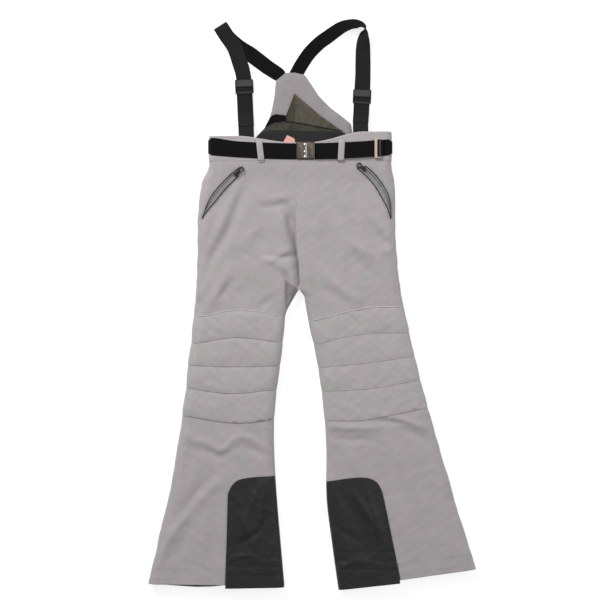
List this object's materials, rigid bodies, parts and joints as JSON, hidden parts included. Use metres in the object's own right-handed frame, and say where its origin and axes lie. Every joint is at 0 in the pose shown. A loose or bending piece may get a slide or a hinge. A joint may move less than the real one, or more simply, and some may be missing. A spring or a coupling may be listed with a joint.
{
  "type": "ski trousers",
  "caption": "Women's flared softshell ski trousers laid flat, with padded ribbed knees, belt, zipped hip pockets, braces with a back yoke, and black scuff guards at the hems",
  "frame": {"origin": "middle of the footprint, on the surface that the trousers lie on", "axes": "+Y from the hems to the shoulders, +Z out of the front of the garment, +X to the wearer's left"},
  "size_m": [0.754, 1.308, 0.039],
  "materials": {
    "shell_cloth": "matte softshell, pale warm grey with a faint mauve mottle",
    "knee_cloth": "the same softshell, padded and sewn in ribs",
    "scuff_guard": "black coated hard-wearing cloth, slightly crinkled",
    "black_webbing": "black ribbed elastic webbing",
    "lining": "thin black lining and elastic facing",
    "mesh_cloth": "dark olive-grey power mesh",
    "zip_tape": "grey zip tape with dark piped edges",
    "zip_metal": "dark satin zip metal",
    "black_plastic": "moulded black plastic, slightly glossy",
    "gunmetal": "brushed gunmetal",
    "polished_metal": "polished metal",
    "label": "pale pink satin label"
  },
  "bodies": {
    "trousers": {"right_front_panel": "shell_cloth", "right_back_panel": "shell_cloth", "right_thigh_outer_side": "shell_cloth", "right_thigh_inner_side": "shell_cloth", "right_knee_pad_upper": "knee_cloth", "left_front_panel": "shell_cloth", "left_back_panel": "shell_cloth", "left_thigh_outer_side": "shell_cloth", "left_thigh_inner_side": "shell_cloth", "left_knee_pad_upper": "knee_cloth", "waistband": "shell_cloth", "waist_hook": "polished_metal", "waist_bar": "polished_metal", "care_label": "label", "belt": "black_webbing", "belt_free_end": "black_webbing", "right_front_belt_loop": "shell_cloth", "right_back_belt_loop": "shell_cloth", "left_front_belt_loop": "shell_cloth", "left_back_belt_loop": "shell_cloth", "clasp_base_plate": "gunmetal", "fly_shield": "shell_cloth", "fly_zip": "zip_tape", "right_pocket_zip": "zip_tape", "right_pocket_bag": "lining", "left_pocket_zip": "zip_tape", "left_pocket_bag": "lining", "right_brace_anchor": "black_webbing", "left_brace_anchor": "black_webbing"},
    "right_lower_leg": {"right_knee_pad_lower": "knee_cloth", "right_shin_panel": "shell_cloth", "right_calf_panel": "shell_cloth", "right_lower_outer_side": "shell_cloth", "right_lower_inner_side": "shell_cloth", "right_scuff_guard": "scuff_guard", "right_gaiter": "lining"},
    "left_lower_leg": {"left_knee_pad_lower": "knee_cloth", "left_shin_panel": "shell_cloth", "left_calf_panel": "shell_cloth", "left_lower_outer_side": "shell_cloth", "left_lower_inner_side": "shell_cloth", "left_scuff_guard": "scuff_guard", "left_gaiter": "lining"},
    "braces": {"back_yoke": "shell_cloth", "back_mesh": "mesh_cloth", "back_elastic": "lining", "right_front_brace": "black_webbing", "right_rear_brace": "black_webbing", "left_front_brace": "black_webbing", "left_rear_brace": "black_webbing"},
    "right_adjuster": {"right_brace_adjuster": "black_plastic"},
    "left_adjuster": {"left_brace_adjuster": "black_plastic"},
    "right_zip_slider": {"right_pocket_slider": "zip_metal"},
    "left_zip_slider": {"left_pocket_slider": "zip_metal"},
    "right_zip_pull": {"right_pocket_pull": "zip_metal"},
    "left_zip_pull": {"left_pocket_pull": "zip_metal"},
    "fly_zip_slider": {"fly_slider": "zip_metal"},
    "clasp_hook": {"clasp_hook_plate": "gunmetal"},
    "belt_end_slider": {"belt_slider": "polished_metal"}
  },
  "joints": [
    {"name": "right_knee_fold", "type": "hinge", "parent": "trousers", "child": "right_lower_leg", "pos_m": [-0.179, -0.14323, 0.05], "axis": [-1, -0.0095, 0], "range_deg": [0, 176]},
    {"name": "left_knee_fold", "type": "hinge", "parent": "trousers", "child": "left_lower_leg", "pos_m": [0.1245, -0.13423, 0.05], "axis": [-0.9932, -0.1168, 0], "range_deg": [0, 176]},
    {"name": "braces_fold", "type": "hinge", "parent": "trousers", "child": "braces", "pos_m": [-0.027, 0.38397, 0.034], "axis": [1, 0, 0], "range_deg": [0, 176]},
    {"name": "right_brace_length", "type": "slide", "parent": "braces", "child": "right_adjuster", "axis": [-0.0489, 0.9988, 0], "range_m": [-0.036, 0.01]},
    {"name": "left_brace_length", "type": "slide", "parent": "braces", "child": "left_adjuster", "axis": [0.0436, 0.999, 0], "range_m": [-0.014, 0.044]},
    {"name": "right_pocket_zip_run", "type": "hinge", "parent": "trousers", "child": "right_zip_slider", "pos_m": [0.00801, 0.07599, 0.03], "axis": [0, 0, 1], "range_deg": [0, 25]},
    {"name": "left_pocket_zip_run", "type": "hinge", "parent": "trousers", "child": "left_zip_slider", "pos_m": [0.01585, 0.17853, 0.03], "axis": [0, 0, -1], "range_deg": [0, 43.9]},
    {"name": "right_pocket_pull_flip", "type": "hinge", "parent": "right_zip_slider", "child": "right_zip_pull", "pos_m": [-0.17342, 0.29764, 0.0337], "axis": [0.6427, -0.7661, 0], "range_deg": [0, 150]},
    {"name": "left_pocket_pull_flip", "type": "hinge", "parent": "left_zip_slider", "child": "left_zip_pull", "pos_m": [0.11864, 0.30871, 0.0337], "axis": [0.6362, 0.7715, 0], "range_deg": [0, 150]},
    {"name": "fly_zip_run", "type": "slide", "parent": "trousers", "child": "fly_zip_slider", "axis": [0, -1, 0], "range_m": [0, 0.07]},
    {"name": "clasp_release", "type": "hinge", "parent": "trousers", "child": "clasp_hook", "pos_m": [0.005, 0.35097, 0.0349], "axis": [0, 1, 0], "range_deg": [0, 25]},
    {"name": "belt_slider_run", "type": "slide", "parent": "trousers", "child": "belt_end_slider", "axis": [-0.9986, -0.0533, 0], "range_m": [0, 0.058]}
  ]
}
